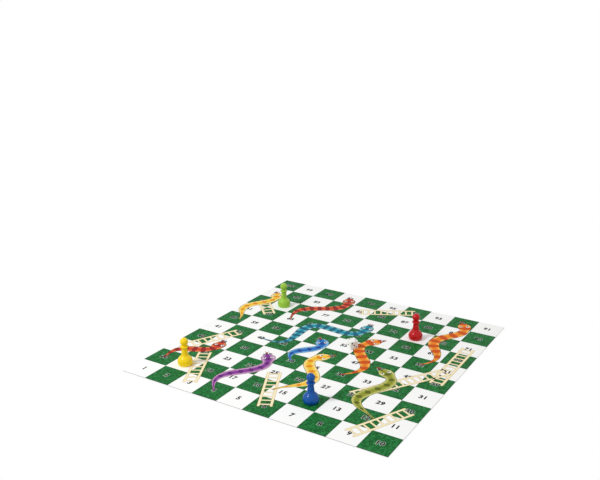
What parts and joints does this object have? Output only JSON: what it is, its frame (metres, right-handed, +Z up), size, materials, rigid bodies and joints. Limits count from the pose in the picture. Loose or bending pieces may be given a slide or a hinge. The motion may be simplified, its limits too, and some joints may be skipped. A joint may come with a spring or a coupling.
{
  "type": "snakes and ladders board",
  "caption": "Folding snakes and ladders board: a laminated magnetic sheet creased into panels, with moulded pawns and a die that stand on its checkered face and lift off.",
  "frame": {"origin": "centre of the sheet's underside, on the table that it lies on", "axes": "+X right along the front edge, from the first numbered square; +Y to the back; +Z up out of the printed face"},
  "size_m": [0.25, 0.25, 0.0254],
  "materials": {
    "printed_film": "printed in green and white, low gloss",
    "magnetic_rubber": "matt, dark grey",
    "backing_film": "matt, off white",
    "yellow_plastic": "moulded, glossy",
    "blue_plastic": "moulded, glossy",
    "red_plastic": "moulded, glossy",
    "green_plastic": "moulded, glossy",
    "die_plastic": "moulded white, glossy, black pips",
    "magnet_plate": "nickel plated",
    "base_pad": "thin black felt"
  },
  "bodies": {
    "front_left_outer": {"face_film_front_left_outer": "printed_film", "magnetic_core_front_left_outer": "magnetic_rubber", "backing_film_front_left_outer": "backing_film"},
    "front_left_inner": {"face_film_front_left_inner": "printed_film", "magnetic_core_front_left_inner": "magnetic_rubber", "backing_film_front_left_inner": "backing_film"},
    "front_right_inner": {"face_film_front_right_inner": "printed_film", "magnetic_core_front_right_inner": "magnetic_rubber", "backing_film_front_right_inner": "backing_film"},
    "front_right_outer": {"face_film_front_right_outer": "printed_film", "magnetic_core_front_right_outer": "magnetic_rubber", "backing_film_front_right_outer": "backing_film"},
    "back_left_outer": {"face_film_back_left_outer": "printed_film", "magnetic_core_back_left_outer": "magnetic_rubber", "backing_film_back_left_outer": "backing_film"},
    "back_left_inner": {"face_film_back_left_inner": "printed_film", "magnetic_core_back_left_inner": "magnetic_rubber", "backing_film_back_left_inner": "backing_film"},
    "back_right_inner": {"face_film_back_right_inner": "printed_film", "magnetic_core_back_right_inner": "magnetic_rubber", "backing_film_back_right_inner": "backing_film"},
    "back_right_outer": {"face_film_back_right_outer": "printed_film", "magnetic_core_back_right_outer": "magnetic_rubber", "backing_film_back_right_outer": "backing_film"},
    "yellow_pawn": {"yellow_pawn_body": "yellow_plastic", "yellow_pawn_magnet": "magnet_plate", "yellow_pawn_base_pad": "base_pad"},
    "blue_pawn": {"blue_pawn_body": "blue_plastic", "blue_pawn_magnet": "magnet_plate", "blue_pawn_base_pad": "base_pad"},
    "red_pawn": {"red_pawn_body": "red_plastic", "red_pawn_magnet": "magnet_plate", "red_pawn_base_pad": "base_pad"},
    "green_pawn": {"green_pawn_body": "green_plastic", "green_pawn_magnet": "magnet_plate", "green_pawn_base_pad": "base_pad"},
    "die": {"die_cube": "die_plastic"}
  },
  "joints": [
    {"name": "fold_left_front", "type": "hinge", "parent": "front_left_inner", "child": "front_left_outer", "pos_m": [-0.0625, 0, -0.00003], "axis": [0, -1, 0], "range_deg": [0, 180]},
    {"name": "fold_middle_front", "type": "hinge", "parent": "front_left_inner", "child": "front_right_inner", "pos_m": [0, 0, -0.00047], "axis": [0, 1, 0], "range_deg": [0, 180]},
    {"name": "fold_right_front", "type": "hinge", "parent": "front_right_inner", "child": "front_right_outer", "pos_m": [0.0625, 0, -0.00003], "axis": [0, 1, 0], "range_deg": [0, 180]},
    {"name": "fold_left_back", "type": "hinge", "parent": "back_left_inner", "child": "back_left_outer", "pos_m": [-0.0625, 0, -0.00003], "axis": [0, -1, 0], "range_deg": [0, 180]},
    {"name": "fold_middle_back", "type": "hinge", "parent": "back_left_inner", "child": "back_right_inner", "pos_m": [0, 0, -0.00047], "axis": [0, 1, 0], "range_deg": [0, 180]},
    {"name": "fold_right_back", "type": "hinge", "parent": "back_right_inner", "child": "back_right_outer", "pos_m": [0.0625, 0, -0.00003], "axis": [0, 1, 0], "range_deg": [0, 180]},
    {"name": "fold_half", "type": "hinge", "parent": "front_left_inner", "child": "back_left_inner", "pos_m": [0, 0, -0.00137], "axis": [-1, 0, 0], "range_deg": [0, 180]},
    {"name": "lift_yellow_pawn", "type": "slide", "parent": "front_left_outer", "child": "yellow_pawn", "axis": [0, 0, 1], "range_m": [0, 0.04]},
    {"name": "lift_blue_pawn", "type": "slide", "parent": "front_right_inner", "child": "blue_pawn", "axis": [0, 0, 1], "range_m": [0, 0.07]},
    {"name": "lift_red_pawn", "type": "slide", "parent": "back_right_inner", "child": "red_pawn", "axis": [0, 0, 1], "range_m": [0, 0.04]},
    {"name": "lift_green_pawn", "type": "slide", "parent": "back_left_outer", "child": "green_pawn", "axis": [0, 0, 1], "range_m": [0, 0.04]},
    {"name": "lift_die", "type": "slide", "parent": "back_right_inner", "child": "die", "axis": [0, 0, 1], "range_m": [0, 0.04]}
  ],
  "couplings": [
    {"joint": "fold_left_back", "follows": "fold_left_front", "ratio": 1},
    {"joint": "fold_middle_back", "follows": "fold_middle_front", "ratio": 1},
    {"joint": "fold_right_back", "follows": "fold_right_front", "ratio": 1}
  ]
}
